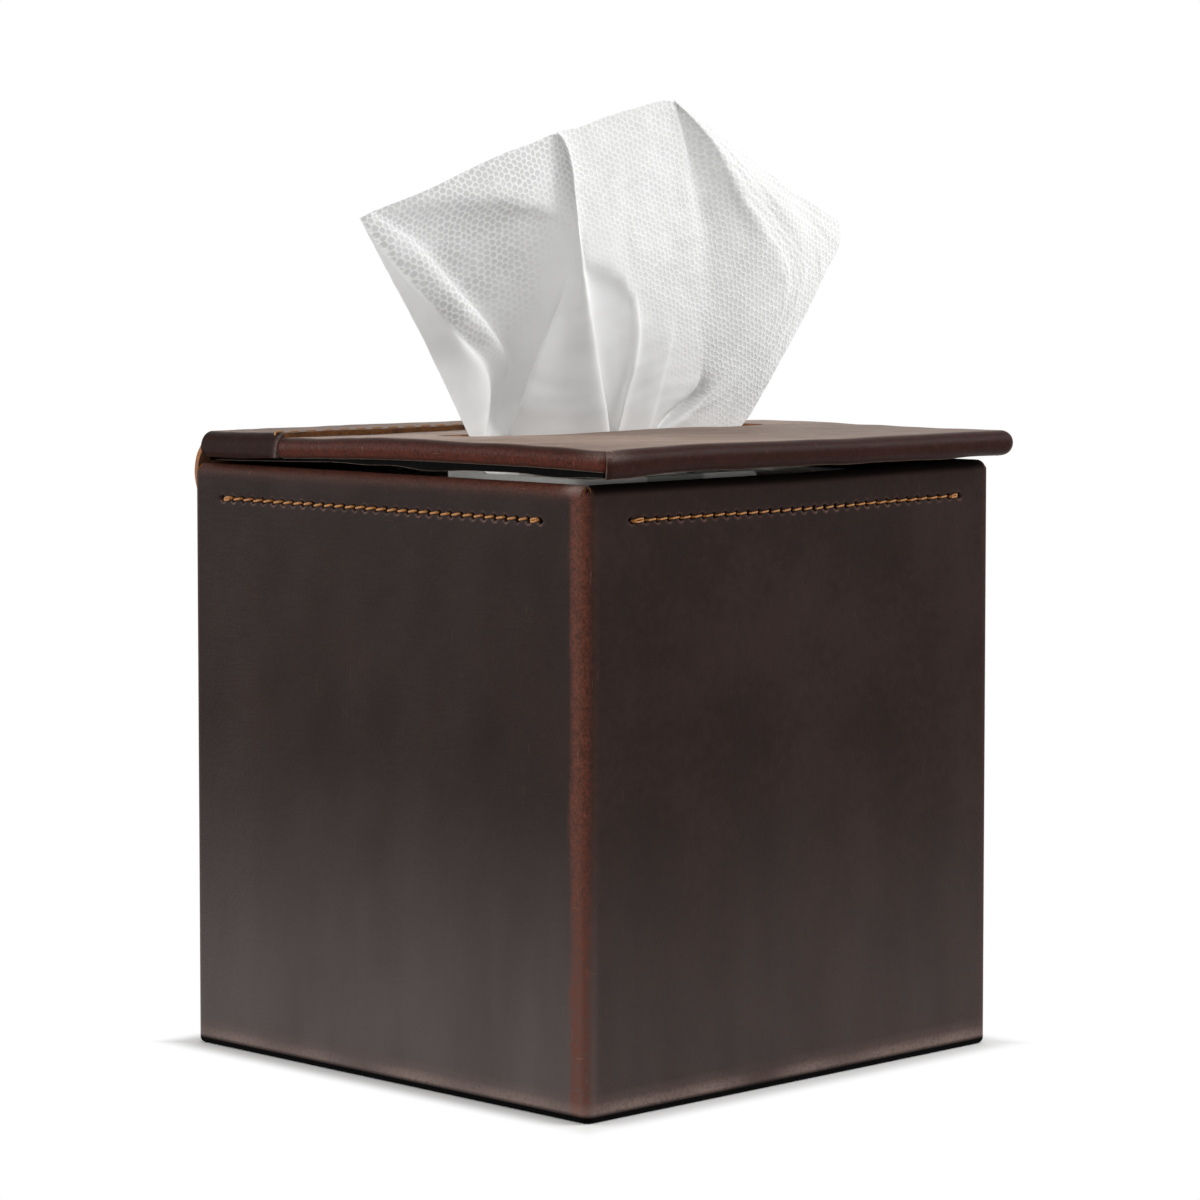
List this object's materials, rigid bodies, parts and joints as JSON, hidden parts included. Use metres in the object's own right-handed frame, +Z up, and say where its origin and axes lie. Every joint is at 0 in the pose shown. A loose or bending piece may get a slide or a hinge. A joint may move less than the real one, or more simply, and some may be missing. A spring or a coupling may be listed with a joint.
{
  "type": "tissue box",
  "caption": "Square leather tissue box with a slotted lid on a leather hinge, holding a carton of tissues with one tissue raised through the slot.",
  "frame": {"origin": "centre of the flat base, on the surface that the box stands on", "axes": "+Z up; the front wall faces -Y and the hinge runs along X at the top of the back wall; +X is to the right seen from the front"},
  "size_m": [0.1324, 0.1386, 0.219],
  "materials": {
    "leather": "smooth pull-up leather, dark brown, worn redder along the folds",
    "lining": "napped flesh side",
    "board": "matt dark fibre board",
    "thread": "waxed thread, tan",
    "card": "smooth pale grey card",
    "tissue": "soft white, fine embossed cells"
  },
  "bodies": {
    "box": {"wall_band": "leather", "bottom_panel": "leather", "base_board": "board", "seam_strip": "leather", "front_rim_thread": "thread", "left_rim_thread": "thread", "right_rim_thread": "thread", "back_rim_thread": "thread", "seam_thread": "thread", "tissue_carton": "card", "tissue_stack": "tissue"},
    "lid": {"lid_panel": "leather", "lid_lining": "lining", "hinge_flap": "leather", "flap_thread": "thread"},
    "tissue": {"pull_tissue": "tissue"}
  },
  "joints": [
    {"name": "lid_hinge", "type": "hinge", "parent": "box", "child": "lid", "pos_m": [0, 0.0655, 0.1356], "axis": [-1, 0, 0], "range_deg": [0, 110], "deforming": ["hinge_flap"]},
    {"name": "tissue_pull", "type": "slide", "parent": "lid", "child": "tissue", "axis": [0, 0, 1], "range_m": [0, 0.06]}
  ]
}
